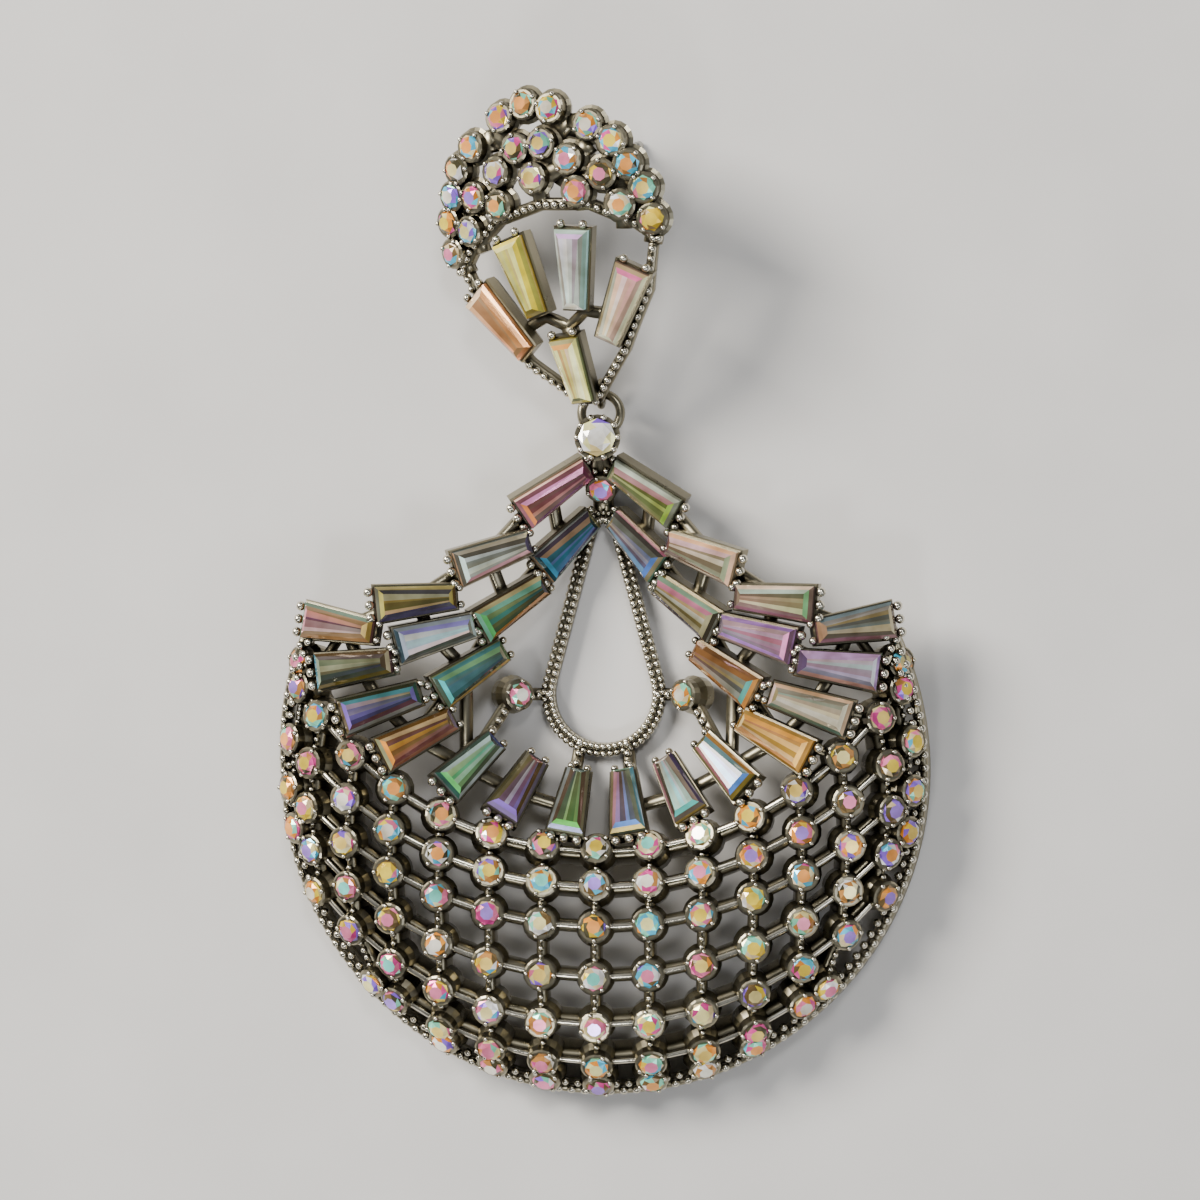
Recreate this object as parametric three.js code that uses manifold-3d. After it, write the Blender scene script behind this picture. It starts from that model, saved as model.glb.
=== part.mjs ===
// Chandelier earring lying face up: a domed openwork drop set with tapered baguettes round a
// teardrop window, a jump ring, and a fan-shaped stud leaning on its ear post.
// Millimetres, +Z up off the surface it lies on, +Y from the drop towards the stud.
import * as THREE from "three";
import { mergeVertices } from "three/addons/utils/BufferGeometryUtils.js";
import Module from "manifold-3d";

const wasm = await Module();
wasm.setup();

// ---- driving dimensions ----
const DROP_RADIUS = 27.7; // the fan is cut from a disc of this radius
const BASE = 1.3; // height of the front of the rim and of the teardrop ring
const CREST = 6.7; // rise of the dome's crest over that
const RIM_ROLL = 11; // the dome rolls down to the rim over this width
const BOWL = 15; // and down to the teardrop over this one
const TOP_STRETCH = 0.55; // above the disc's centre the roll follows an ellipse this flat
const TEARDROP = { low: 6.2, high: 20.2, lowRadius: 4.1, highRadius: 0.5, band: 1.3 };
const RIM = { width: 1.1, height: 2.6, tipAngle: 26, steps: 58 };
const RIB = { width: 0.75, depth: 1.0, roundPitch: 4.5 };
const STONE = { length: 6.7, wide: 3.0, narrow: 1.9 };
const TRAY = { wall: 0.35, below: 0.9, above: 1.15, clearance: 0.12 };
const LINK_STONE = { y: 27.8, radius: 1.6, cup: 1.95 };
const NECK_STONE = { y: 23.9, radius: 1.0 };
const SIDE_STONE = { x: 7.3, y: 6.2 };
const JUMP_RING = { y: 30.0, radius: 1.65, wire: 0.4, height: 3.2 };
const EYE = { radius: 1.0, wire: 0.33 };
const STUD = { y: 30.7, height: 4.9, lean: 11, roll: -22, pitch: 14, dome: 2.3, halfWidth: 12 };
const STUD_STONE = { length: 6.6, wide: 3.0, narrow: 1.9 };
const POST = { u: 3.0, v: 20.3, w: 0.1, radius: 0.4, pad: 1.7, padDepth: 0.6 };

// ---- short tables: one row for each stone or arc, mirrored to the other side ----
// Baguettes of the drop: centre, and the way the wide end points, in degrees from +X.
const DROP_BAGUETTES = [
  { name: "1a", x: 4.15, y: 23.7, points: -36 },
  { name: "1b", x: 3.4, y: 19.1, points: -47, length: 6.2 },
  { name: "2a", x: 9.2, y: 18.0, points: -22 },
  { name: "2b", x: 7.8, y: 13.9, points: -36 },
  { name: "3a", x: 15.2, y: 14.2, points: -6 },
  { name: "3b", x: 13.8, y: 11.3, points: -16 },
  { name: "3c", x: 11.1, y: 8.3, points: -35 },
  { name: "4a", x: 21.3, y: 12.0, points: 9 },
  { name: "4b", x: 20.0, y: 8.6, points: -8 },
  { name: "4c", x: 18.0, y: 5.4, points: -18 },
  { name: "4d", x: 15.2, y: 2.7, points: -28 },
  { name: "5a", x: 11.0, y: 0.3, points: -45, length: 6.0 },
  { name: "5b", x: 7.0, y: -1.8, points: -60, length: 6.0 },
  { name: "5c", x: 2.4, y: -3.2, points: -81, length: 6.0 },
];
// Metal that joins their trays, each a chain of stones.
const TRAY_CHAINS = [
  ["1a", "2a", "3a", "4a"],
  ["1a", "1b"],
  ["1b", "2b", "3c"],
  ["2a", "2b"],
  ["3a", "3b", "3c"],
  ["4a", "4b", "4c", "4d"],
  ["3c", "5a"],
  ["4d", "5a", "5b", "5c"],
];
// Rows of round stones: each row is an arc about a centre on the axis; last is the outermost stone.
const LATTICE_ROWS = [
  { centre: 23.2, radius: 30.0, last: 7 },
  { centre: 24.0, radius: 33.7, last: 7 },
  { centre: 22.3, radius: 35.3, last: 7 },
  { centre: 15.6, radius: 32.8, last: 7 },
  { centre: 10.0, radius: 31.2, last: 6 },
  { centre: 5.7, radius: 30.2, last: 5 },
];
// Baguettes of the stud, in its own plane: distance from its tip and angle off its axis.
const STUD_BAGUETTES = [
  { name: "inner", out: 12.0, angle: 11.5 },
  { name: "outer", out: 10.0, angle: 34 },
];
const STUD_TIP_BAGUETTE = { name: "stud_baguette_tip", out: 3.6, angle: 0, length: 5.6, wide: 2.6 };
// Bands of the stud's scalloped shell: corners of each band's middle line, u to the side and v up.
const STUD_BANDS = [
  { name: "crown", width: 2.3, mirrored: false,
    line: [[-3.7, 22.7], [-2.4, 24.7], [0, 25.5], [2.4, 24.7], [3.7, 22.7]] },
  { name: "eye_arc", width: 2.1, mirrored: false,
    line: [[-3.6, 19.2], [-2.3, 21.5], [0, 22.3], [2.3, 21.5], [3.6, 19.2]] },
  { name: "shoulder", width: 2.3, mirrored: true,
    line: [[3.5, 23.3], [5.4, 23.2], [7.4, 21.5], [8.4, 19.2], [8.2, 18.2]] },
  { name: "side", width: 2.1, mirrored: true,
    line: [[3.6, 19.2], [5.3, 18.4], [7.4, 18.8], [9.3, 17.3], [9.9, 15.0], [9.0, 12.6]] },
  { name: "spoke", width: 1.9, mirrored: true,
    line: [[7.4, 18.8], [7.2, 15.9], [6.9, 14.2]] },
  { name: "centre_spoke", width: 1.9, mirrored: false, line: [[0, 22.3], [0, 19.4], [0, 17.3]] },
  { name: "sill", width: 1.2, mirrored: false,
    line: [[-9.6, 12.9], [-8.0, 14.5], [-4.4, 16.7], [0, 17.4], [4.4, 16.7], [8.0, 14.5], [9.6, 12.9]] },
  { name: "edge", width: 1.0, mirrored: true, line: [[9.2, 13.0], [7.9, 8.9], [4.6, 4.3], [0.6, 0.4]] },
  { name: "hub", width: 1.1, mirrored: false, line: [[-4.7, 7.2], [-1.9, 8.0], [0, 6.9], [1.9, 8.0], [4.7, 7.2]] },
  { name: "keel", width: 1.6, mirrored: false, line: [[0, 7.0], [0, 3.5], [0, 0.2]] },
];

const radians = (degrees) => (degrees * Math.PI) / 180;
const vector = (x, y, z) => new THREE.Vector3(x, y, z);

// ---- solids ----
function solidOf(geometry) {
  const bare = geometry.clone();
  bare.deleteAttribute("normal");
  bare.deleteAttribute("uv");
  const merged = mergeVertices(bare, 1e-5);
  return new wasm.Manifold(
    new wasm.Mesh({
      numProp: 3,
      vertProperties: merged.attributes.position.array,
      triVerts: new Uint32Array(merged.index.array),
    }),
  );
}

function geometryOf(solid) {
  const mesh = solid.getMesh();
  const position = new THREE.BufferAttribute(new Float32Array(mesh.vertProperties), 3);
  const geometry = new THREE.BufferGeometry().setAttribute("position", position);
  geometry.setIndex(new THREE.BufferAttribute(new Uint32Array(mesh.triVerts), 1));
  const flat = geometry.toNonIndexed();
  flat.computeVertexNormals();
  return flat;
}

// A closed skin over rings of points, each ring with as many points, capped at both ends.
function skin(rings, closed = false) {
  const count = rings[0].length;
  const positions = rings.flat().flatMap((p) => p.toArray());
  const faces = [];
  const spans = closed ? rings.length : rings.length - 1;
  for (let i = 0; i < spans; i++) {
    for (let k = 0; k < count; k++) {
      const a = i * count + k;
      const b = i * count + ((k + 1) % count);
      const c = ((i + 1) % rings.length) * count + k;
      const d = ((i + 1) % rings.length) * count + ((k + 1) % count);
      faces.push(a, b, d, a, d, c);
    }
  }
  const end = (rings.length - 1) * count;
  for (let k = 1; k < count - 1 && !closed; k++) {
    faces.push(0, k + 1, k, end, end + k, end + k + 1);
  }
  const geometry = new THREE.BufferGeometry();
  geometry.setAttribute("position", new THREE.Float32BufferAttribute(positions, 3));
  geometry.setIndex(faces);
  return geometry;
}

// A bar of rectangular section along points, its flat side facing each point's normal.
function bar(points, normals, width, above, below, closed = false) {
  const last = points.length - 1;
  const rings = points.map((point, i) => {
    const before = points[i > 0 ? i - 1 : closed ? last : 0];
    const after = points[i < last ? i + 1 : closed ? 0 : last];
    const along = after.clone().sub(before).normalize();
    const across = normals[i].clone().cross(along).normalize();
    const up = along.clone().cross(across).normalize();
    const corner = (side, height) =>
      point.clone().addScaledVector(across, (side * width) / 2).addScaledVector(up, height);
    return [corner(1, above), corner(-1, above), corner(-1, -below), corner(1, -below)];
  });
  return solidOf(skin(rings, closed));
}

function join(solids) {
  return solids.reduce((whole, solid) => whole.add(solid));
}

// ---- the domed face of the drop ----
function teardropDistance(x, y) {
  const { low, high, lowRadius, highRadius } = TEARDROP;
  const rise = high - low;
  const slope = (lowRadius - highRadius) / rise;
  const flank = Math.sqrt(1 - slope * slope);
  const side = Math.abs(x);
  const reach = flank * (y - low) - slope * side;
  if (reach < 0) return Math.hypot(side, y - low) - lowRadius;
  if (reach > flank * rise) return Math.hypot(side, y - high) - highRadius;
  return flank * side + slope * (y - low) - lowRadius;
}

function dropHeight(x, y) {
  const fromTeardrop = Math.max(0, teardropDistance(x, y) - TEARDROP.band);
  const bowl = Math.sin((Math.PI / 2) * Math.min(1, fromTeardrop / BOWL));
  const fromRim = DROP_RADIUS - Math.hypot(x, y > 0 ? y * TOP_STRETCH : y);
  const roll = 1 - Math.min(1, Math.max(0, fromRim / RIM_ROLL));
  return BASE + CREST * bowl * Math.sqrt(Math.max(0, 1 - roll * roll));
}

function dropNormal(x, y) {
  const step = 0.4;
  const inward = Math.min(1, (DROP_RADIUS - 0.9) / Math.hypot(x, y));
  const [px, py] = [x * inward, y * inward];
  const slopeX = (dropHeight(px + step, py) - dropHeight(px - step, py)) / (2 * step);
  const slopeY = (dropHeight(px, py + step) - dropHeight(px, py - step)) / (2 * step);
  return vector(-slopeX, -slopeY, 1).normalize();
}

const onDrop = (x, y) => vector(x, y, dropHeight(x, y));

function dropBar(line, width, above = 0, below = RIB.depth) {
  const points = line.map(([x, y]) => onDrop(x, y));
  const normals = line.map(([x, y]) => dropNormal(x, y));
  return bar(points, normals, width, above, below);
}

// ---- the domed face of the stud, in its own plane ----
function studHeight(u, v) {
  const side = Math.min(1, Math.abs(u) / STUD.halfWidth);
  const ends = Math.min(1, Math.abs(v - 14.5) / 15.5);
  return STUD.dome * (1 - side * side) * (1 - ends * ends) + 1.0;
}

function studNormal(u, v) {
  const step = 0.4;
  const slopeU = (studHeight(u + step, v) - studHeight(u - step, v)) / (2 * step);
  const slopeV = (studHeight(u, v + step) - studHeight(u, v - step)) / (2 * step);
  return vector(-slopeU, -slopeV, 1).normalize();
}

const onStud = (u, v) => vector(u, v, studHeight(u, v));

// ---- tapered baguettes ----
// The frame of a stone lying on a domed face: X along it towards its wide end, Z out of the face.
function stoneFrame(point, normal, degrees) {
  const heading = vector(Math.cos(radians(degrees)), Math.sin(radians(degrees)), 0);
  heading.z = -(normal.x * heading.x + normal.y * heading.y) / normal.z;
  heading.normalize();
  const across = normal.clone().cross(heading);
  return new THREE.Matrix4().makeBasis(heading, across, normal).setPosition(point);
}

function taper(size, grow, z, inset = 0) {
  const end = size.length / 2 + grow - inset;
  const wide = size.wide / 2 + grow - inset;
  const narrow = size.narrow / 2 + grow - inset;
  return [vector(end, -wide, z), vector(end, wide, z), vector(-end, narrow, z), vector(-end, -narrow, z)];
}

// Table, bevelled crown, girdle, and a back that comes to a keel along the stone.
function baguette(size) {
  const keel = taper(size, 0, 0.45, 0.9).map((corner) => corner.setY(corner.y * 0.12));
  return skin([keel, taper(size, 0, 1.0), taper(size, 0, 1.35), taper(size, 0, 1.95, 0.55)]);
}

function pocket(size) {
  const open = TRAY.above + 1;
  return skin([
    taper(size, TRAY.clearance, 0.3, 0.55),
    taper(size, TRAY.clearance, 0.9),
    taper(size, TRAY.clearance, open),
  ]);
}

function tray(size) {
  const edge = TRAY.wall + TRAY.clearance;
  return skin([taper(size, edge, -TRAY.below), taper(size, edge, TRAY.above)]);
}

const placed = (geometry, matrix) => solidOf(geometry.clone().applyMatrix4(matrix));

const dropStones = [-1, 1].flatMap((side) =>
  DROP_BAGUETTES.map((row) => {
    const size = { ...STONE, length: row.length ?? STONE.length };
    const points = side > 0 ? row.points : 180 - row.points;
    const matrix = stoneFrame(onDrop(side * row.x, row.y), dropNormal(side * row.x, row.y), points);
    return { name: `drop_baguette_${side > 0 ? "right" : "left"}_${row.name}`, row, side, size, matrix };
  }),
);

function studStone(name, side, row) {
  const angle = radians(row.angle) * side;
  const [u, v] = [row.out * Math.sin(angle), row.out * Math.cos(angle)];
  const size = { ...STUD_STONE, length: row.length ?? STUD_STONE.length, wide: row.wide ?? STUD_STONE.wide };
  return { name, size, matrix: stoneFrame(onStud(u, v), studNormal(u, v), 90 - row.angle * side) };
}

const studStones = [
  ...[-1, 1].flatMap((side) =>
    STUD_BAGUETTES.map((row) =>
      studStone(`stud_baguette_${side > 0 ? "right" : "left"}_${row.name}`, side, row),
    ),
  ),
  studStone(STUD_TIP_BAGUETTE.name, 1, STUD_TIP_BAGUETTE),
];

// ---- drop frame: rim, lattice, teardrop ring, trays, neck and eye, cast in one ----
function rowPoints(row) {
  const at = (x) => [x, row.centre - Math.sqrt(row.radius ** 2 - x * x)];
  const points = [at(0)];
  while (points.length <= row.last) {
    const [startX, startY] = points[points.length - 1];
    const start = onDrop(startX, startY);
    let x = startX + 0.02;
    while (onDrop(...at(x)).distanceTo(start) < RIB.roundPitch && Math.hypot(...at(x)) < DROP_RADIUS - 1) {
      x += 0.02;
    }
    points.push(at(x));
  }
  return points;
}

const lattice = LATTICE_ROWS.map(rowPoints);
const toRim = ([x, y]) => {
  const reach = (DROP_RADIUS - RIM.width / 2) / Math.hypot(x, y);
  return [x * reach, y * reach];
};
const mirrored = (line) => line.map(([x, y]) => [-x, y]);

function rimSolid() {
  const points = [];
  const normals = [];
  const start = RIM.tipAngle;
  const sweep = -(180 + 2 * RIM.tipAngle);
  for (let i = 0; i <= RIM.steps; i++) {
    const angle = radians(start + (sweep * i) / RIM.steps);
    const [cos, sin] = [Math.cos(angle), Math.sin(angle)];
    const radius = DROP_RADIUS - RIM.width / 2;
    points.push(vector(radius * cos, radius * sin, dropHeight(DROP_RADIUS * cos, DROP_RADIUS * sin)));
    normals.push(vector(0, 0, 1));
  }
  return bar(points, normals, RIM.width, RIM.height / 2, RIM.height / 2);
}

function teardropSolid() {
  const { low, high, lowRadius, highRadius, band } = TEARDROP;
  const flank = Math.asin((lowRadius - highRadius) / (high - low));
  const points = [];
  const arc = (centre, radius, from, to, steps) => {
    for (let i = 0; i <= steps; i++) {
      const angle = from + ((to - from) * i) / steps;
      points.push(vector(radius * Math.cos(angle), centre + radius * Math.sin(angle), BASE));
    }
  };
  arc(high, highRadius + band / 2, flank, Math.PI - flank, 6);
  arc(low, lowRadius + band / 2, Math.PI - flank, 2 * Math.PI + flank, 20);
  return bar(points, points.map(() => vector(0, 0, 1)), band, 0, BASE, true);
}

function torus(radius, wire, aroundX, wireSteps = 8, ringSteps = 16) {
  const geometry = new THREE.TorusGeometry(radius, wire, wireSteps, ringSteps);
  return aroundX ? geometry.rotateY(Math.PI / 2) : geometry;
}

function eye(y, z) {
  return solidOf(torus(EYE.radius, EYE.wire, true).translate(0, y, z));
}

function cylinder(radius, depth, x, y, z, sides = 14) {
  return solidOf(new THREE.CylinderGeometry(radius, radius, depth, sides).rotateX(Math.PI / 2).translate(x, y, z));
}

// A polygon with each edge moved inwards by an amount.
function inset(corners, amount) {
  const count = corners.length;
  return corners.map(([x, y], i) => {
    const [ax, ay] = corners[(i + count - 1) % count];
    const [bx, by] = corners[(i + 1) % count];
    const [inX, inY] = [(x - ax) / Math.hypot(x - ax, y - ay), (y - ay) / Math.hypot(x - ax, y - ay)];
    const [outX, outY] = [(bx - x) / Math.hypot(bx - x, by - y), (by - y) / Math.hypot(bx - x, by - y)];
    const turn = Math.max(0.35, 1 + inX * outX + inY * outY);
    return [x - (amount * (inY + outY)) / turn, y + (amount * (inX + outX)) / turn];
  });
}

// The openings of the lattice on one side, between each row and the next.
function latticeCells() {
  const cells = [];
  lattice.slice(0, -1).forEach((upper, i) => {
    const lower = lattice[i + 1];
    for (let column = 0; column < Math.min(upper.length - 1, lower.length); column++) {
      const end = lower[column + 1];
      const corners = [lower[column], end, upper[column + 1], upper[column]];
      cells.push(corners.filter((corner) => corner));
    }
  });
  return cells;
}

// A flat outline with openings, raised onto the dome as a pierced shell.
function latticeShell() {
  const half = lattice[0].map(([x, y]) => [x, y + RIB.width / 2]);
  const top = [...mirrored(half.slice(1)).reverse(), ...half];
  const start = Math.atan2(half[half.length - 1][1], half[half.length - 1][0]);
  const arc = [];
  for (let i = 0; i <= RIM.steps; i++) {
    const angle = start - ((Math.PI + 2 * start) * i) / RIM.steps;
    const radius = DROP_RADIUS - RIM.width / 2;
    arc.push([radius * Math.cos(angle), radius * Math.sin(angle)]);
  }
  const shape = new THREE.Shape([...top, ...arc].map(([x, y]) => new THREE.Vector2(x, y)));
  const cells = latticeCells().map((cell) => inset(cell, RIB.width / 2));
  shape.holes = [...cells, ...cells.map((cell) => mirrored(cell).reverse())].map(
    (cell) => new THREE.Path(cell.map(([x, y]) => new THREE.Vector2(x, y))),
  );
  const geometry = new THREE.ExtrudeGeometry(shape, { depth: RIB.depth, bevelEnabled: false });
  const position = geometry.attributes.position;
  for (let i = 0; i < position.count; i++) {
    const height = dropHeight(position.getX(i), position.getY(i));
    position.setZ(i, height + position.getZ(i) - RIB.depth);
  }
  return solidOf(geometry);
}

function dropFrame() {
  const spot = Object.fromEntries(DROP_BAGUETTES.map((row) => [row.name, [row.x, row.y]]));
  const outward = (row, distance) => [
    row.x + distance * Math.cos(radians(row.points)),
    row.y + distance * Math.sin(radians(row.points)),
  ];
  const chains = TRAY_CHAINS.map((names) => names.map((name) => spot[name]));
  const links = DROP_BAGUETTES.filter((row) => ["4", "5"].includes(row.name[0])).map((row) => {
    const near = lattice[0].reduce((best, node) => {
      const distance = ([x, y]) => Math.hypot(x - outward(row, 3)[0], y - outward(row, 3)[1]);
      return distance(node) < distance(best) ? node : best;
    });
    return [[row.x, row.y], near];
  });
  const tipEnd = [
    DROP_RADIUS * 0.97 * Math.cos(radians(RIM.tipAngle - 1)),
    DROP_RADIUS * 0.97 * Math.sin(radians(RIM.tipAngle - 1)),
  ];
  const struts = [
    [[TEARDROP.lowRadius + 0.6, TEARDROP.low], [SIDE_STONE.x, SIDE_STONE.y], spot["5a"]],
    [[2.0, 2.0], [2.2, 0.3], spot["5c"]],
    [spot["4a"], tipEnd],
    [spot["3c"], spot["4d"]],
    [spot["3b"], spot["4b"]],
    [spot["1a"], [0.4, LINK_STONE.y - 2.5], [0, LINK_STONE.y]],
    [spot["1b"], [0.3, TEARDROP.high + 1.2], [0.1, NECK_STONE.y]],
  ];
  const webs = [...chains, ...links, ...struts].flatMap((line) => [
    dropBar(line, 1.1),
    dropBar(mirrored(line), 1.1),
  ]);
  const neck = dropBar([[0, TEARDROP.high + 0.8], [0, NECK_STONE.y], [0, LINK_STONE.y]], 1.8);
  const cupHeight = dropHeight(0, LINK_STONE.y);
  const cup = cylinder(LINK_STONE.cup, 1.5, 0, LINK_STONE.y, cupHeight + 0.15);
  const eyeStem = solidOf(
    new THREE.BoxGeometry(0.66, 1.2, 1.2).translate(0, LINK_STONE.y + 0.3, JUMP_RING.height + 1.5),
  );
  const whole = join([
    rimSolid(),
    teardropSolid(),
    latticeShell(),
    ...webs,
    ...dropStones.map((stone) => placed(tray(stone.size), stone.matrix)),
    neck,
    cup,
    eye(JUMP_RING.y - JUMP_RING.radius, JUMP_RING.height),
    eyeStem,
  ]);
  const ringPath = solidOf(
    torus(JUMP_RING.radius, JUMP_RING.wire + 0.15, false, 8, 24).translate(0, JUMP_RING.y, JUMP_RING.height),
  );
  const seat = cylinder(LINK_STONE.radius + 0.12, 2, 0, LINK_STONE.y, cupHeight + 1.5);
  return whole
    .subtract(join(dropStones.map((stone) => placed(pocket(stone.size), stone.matrix))))
    .subtract(ringPath)
    .subtract(seat)
    .trimByPlane([0, 0, 1], 0);
}

// ---- stud frame: scalloped shell, sill, fan trays, edges and eye, cast in one ----
function studBar(line, width) {
  const points = line.map(([u, v]) => onStud(u, v));
  const normals = line.map(([u, v]) => studNormal(u, v));
  return bar(points, normals, width, 0, 1.0);
}

function studFrame() {
  const bands = STUD_BANDS.flatMap((band) => [
    studBar(band.line, band.width),
    ...(band.mirrored ? [studBar(mirrored(band.line), band.width)] : []),
  ]);
  const trays = studStones.map((stone) => placed(tray(stone.size), stone.matrix));
  const pads = cylinder(2.2, 0.9, POST.u, POST.v, studHeight(POST.u, POST.v) - 0.9);
  const boss = studBar([[0, 19.4], [POST.u, POST.v], [5.4, 21.6]], 2.0);
  return join([...bands, ...trays, pads, boss]).subtract(
    join(studStones.map((stone) => placed(pocket(stone.size), stone.matrix))),
  );
}

// ---- the stud's place: leaning on its post ----
const studPlace = new THREE.Matrix4()
  .makeTranslation(0, STUD.y, STUD.height)
  .multiply(new THREE.Matrix4().makeRotationX(radians(STUD.pitch)))
  .multiply(new THREE.Matrix4().makeRotationY(radians(STUD.roll)))
  .multiply(new THREE.Matrix4().makeRotationZ(radians(STUD.lean)));

function studWithEye() {
  const shell = placed(geometryOf(studFrame()), studPlace);
  const eyeY = JUMP_RING.y + JUMP_RING.radius;
  const stem = solidOf(new THREE.BoxGeometry(0.66, 1.2, 1.4).translate(0, eyeY + 0.2, JUMP_RING.height + 1.7));
  const ringPath = solidOf(
    torus(JUMP_RING.radius, JUMP_RING.wire + 0.15, false, 8, 24).translate(0, JUMP_RING.y, JUMP_RING.height),
  );
  return join([shell, eye(eyeY, JUMP_RING.height), stem]).subtract(ringPath);
}

// The post runs straight back from the stud until its end meets the surface below.
function earPost() {
  const root = vector(POST.u, POST.v, studHeight(POST.u, POST.v) - 1.35 - POST.w).applyMatrix4(studPlace);
  const back = vector(0, 0, -1).transformDirection(studPlace);
  const length = (root.z - POST.radius * Math.sqrt(1 - back.z ** 2)) / -back.z;
  const profile = [
    [0, 0],
    [POST.pad, 0],
    [POST.pad, POST.padDepth],
    [POST.radius, POST.padDepth],
    [POST.radius, length - 1.2],
    [POST.radius * 0.8, length - 1.0],
    [POST.radius, length - 0.8],
    [POST.radius, length],
    [0, length],
  ].map(([radius, height]) => new THREE.Vector2(radius, height));
  const turn = new THREE.Quaternion().setFromUnitVectors(vector(0, 1, 0), back);
  return new THREE.LatheGeometry(profile, 12).applyQuaternion(turn).translate(...root.toArray());
}

// ---- the assembly ----
const plated = new THREE.MeshStandardMaterial({ color: 0x8d887c, roughness: 0.28, metalness: 1 });
const steel = new THREE.MeshStandardMaterial({ color: 0x9c9a94, roughness: 0.3, metalness: 1 });
const crystal = new THREE.MeshStandardMaterial({ color: 0xb9b29c, roughness: 0.05, metalness: 0.4 });

const earring = new THREE.Group();

function addPiece(name, geometry, material) {
  const mesh = new THREE.Mesh(geometry, material);
  mesh.name = name;
  earring.add(mesh);
  return mesh;
}

addPiece("drop_frame", geometryOf(dropFrame()), plated);
addPiece("stud_frame", geometryOf(studWithEye()), plated);
addPiece("ear_post", earPost(), steel);
addPiece("jump_ring", torus(JUMP_RING.radius, JUMP_RING.wire, false, 8, 24), plated).position.set(
  0,
  JUMP_RING.y,
  JUMP_RING.height,
);
addPiece(
  "link_stone",
  new THREE.LatheGeometry(
    [
      [0, 0],
      [LINK_STONE.radius, 0.7],
      [LINK_STONE.radius, 1.0],
      [LINK_STONE.radius * 0.55, 1.75],
      [0, 1.75],
    ].map(([radius, height]) => new THREE.Vector2(radius, height)),
    12,
  ).rotateX(Math.PI / 2),
  crystal,
).position.set(0, LINK_STONE.y, dropHeight(0, LINK_STONE.y) + 0.6);
for (const stone of dropStones) {
  addPiece(stone.name, baguette(stone.size).applyMatrix4(stone.matrix), crystal);
}
for (const stone of studStones) {
  addPiece(stone.name, baguette(stone.size).applyMatrix4(stone.matrix).applyMatrix4(studPlace), crystal);
}

// The origin is under the middle of the whole earring, on the surface that it lies on.
const bounds = new THREE.Box3().setFromObject(earring);
const middle = bounds.getCenter(vector(0, 0, 0));
for (const mesh of earring.children) {
  mesh.position.sub(vector(middle.x, middle.y, bounds.min.z));
}

export default earring;
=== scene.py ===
import math, random
import bpy, bmesh
from mathutils import Matrix, Vector


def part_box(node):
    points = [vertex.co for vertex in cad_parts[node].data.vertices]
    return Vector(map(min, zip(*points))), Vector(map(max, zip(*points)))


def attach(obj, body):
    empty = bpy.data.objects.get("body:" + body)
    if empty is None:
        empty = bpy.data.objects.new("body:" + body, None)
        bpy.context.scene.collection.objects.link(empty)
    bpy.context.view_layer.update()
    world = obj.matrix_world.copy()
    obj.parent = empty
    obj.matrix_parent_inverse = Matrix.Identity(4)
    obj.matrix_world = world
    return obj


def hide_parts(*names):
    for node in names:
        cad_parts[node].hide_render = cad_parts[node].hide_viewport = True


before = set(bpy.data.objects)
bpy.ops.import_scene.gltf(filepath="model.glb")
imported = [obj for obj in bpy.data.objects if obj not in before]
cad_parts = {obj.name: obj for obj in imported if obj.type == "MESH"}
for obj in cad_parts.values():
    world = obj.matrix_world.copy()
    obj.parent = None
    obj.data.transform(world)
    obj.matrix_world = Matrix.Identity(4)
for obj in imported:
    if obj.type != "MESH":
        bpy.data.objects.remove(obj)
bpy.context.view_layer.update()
MM = 0.001
rng = random.Random(7)

# ---- driving dimensions, in millimetres ----
# The disc and dome of the drop, the teardrop window in it, its stones, ring and eyes, and the
# post. They are the frame's own sizes, except that the last round stones stop further inside
# the rim. CENTRE is the middle of the disc, in metres.
DISC_RADIUS = 27.7
BASE = 1.3
CREST = 6.7
RIM_ROLL = 11
BOWL = 15
TOP_STRETCH = 0.55
TIP_ANGLE = 26
WINDOW_LOW = 6.2
WINDOW_HIGH = 20.2
WINDOW_RADIUS = 4.1
WINDOW_TOP_RADIUS = 0.5
WINDOW_BAND = 1.3
STONE_PITCH = 4.5
LAST_STONE_RADIUS = 26.0
STONE_WIDE = 3.0
STONE_NARROW = 1.9
LINK_STONE_Y = 27.8
LINK_STONE_RADIUS = 1.6
RING_Y = 30.0
RING_RADIUS = 1.65
RING_WIRE = 0.4
RING_HEIGHT = 3.2
EYE_RADIUS = 1.0
EYE_WIRE = 0.33
POST_U = 3.0
POST_V = 20.3
POST_RADIUS = 0.4
CENTRE = Vector((0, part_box("drop_frame")[0][1] + DISC_RADIUS * MM, 0))


# ---- colour and material helpers ----
# Colours are written as sRGB hex and used as linear values. The other helpers add one node,
# one procedural pattern or one bump to a material.
def linear(code):
    parts = [int(code[i:i + 2], 16) / 255 for i in (1, 3, 5)]
    return [p / 12.92 if p < 0.04045 else ((p + 0.055) / 1.055) ** 2.4 for p in parts] + [1]


def add(tree, kind, **values):
    node = tree.nodes.new(kind)
    for key, value in values.items():
        setattr(node, key, value)
    return node


def new_material(name):
    material = bpy.data.materials.new(name)
    material.use_nodes = True
    tree = material.node_tree
    return material, tree, tree.nodes["Principled BSDF"]


def set_inputs(node, **values):
    for key, value in values.items():
        node.inputs[key.replace("_", " ")].default_value = value


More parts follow.
